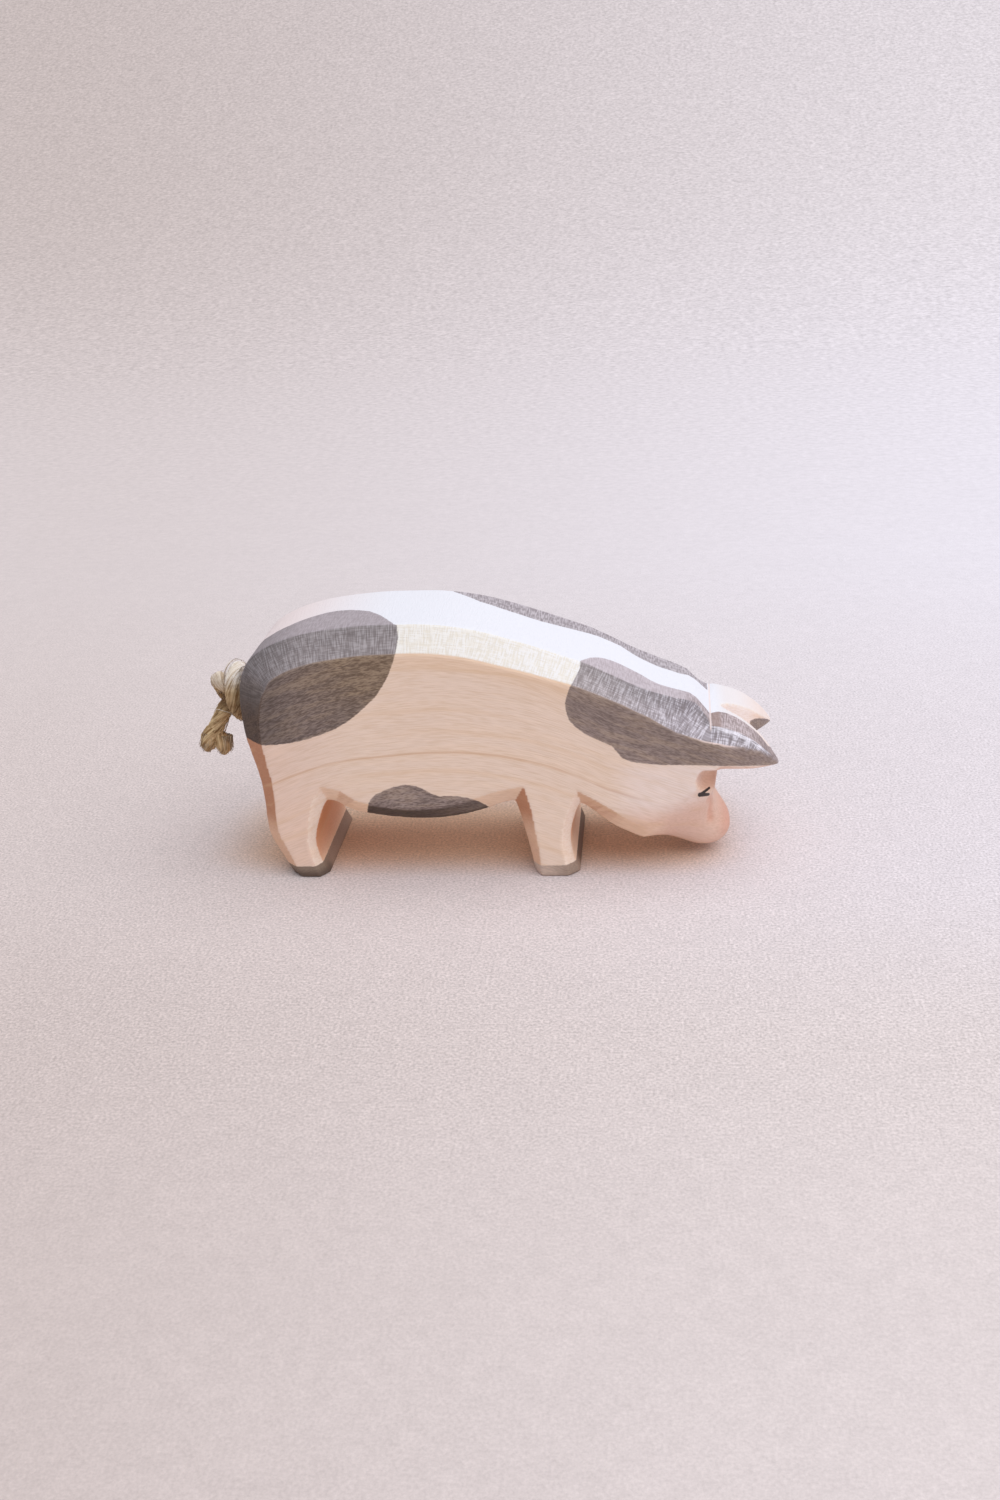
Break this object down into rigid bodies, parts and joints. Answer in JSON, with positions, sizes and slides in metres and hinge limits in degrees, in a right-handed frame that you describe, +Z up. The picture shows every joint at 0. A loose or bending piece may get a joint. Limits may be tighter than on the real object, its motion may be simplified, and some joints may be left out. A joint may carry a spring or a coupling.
{
  "type": "wooden toy pig",
  "caption": "Small carved wooden pig with its head lowered to graze, flat flanks with bevelled edges, pointed ears over its snout and a knotted cord tail.",
  "frame": {"origin": "on the floor under the middle of the carved body, halfway from the rump to the ear tips and halfway between the flanks", "axes": "+X from the rump to the snout, +Z up, +Y to the pig's left; the body is the same on both sides of y = 0"},
  "size_m": [0.1327, 0.0336, 0.059],
  "materials": {
    "maple": "hand-sanded maple, waxed, with grey, white and pink stain",
    "hemp_cord": "rough laid hemp",
    "dried_glue": "dried wood glue"
  },
  "bodies": {
    "root": {"carved_body": "maple", "tail_cord": "hemp_cord", "glue_plug": "dried_glue"}
  },
  "joints": []
}
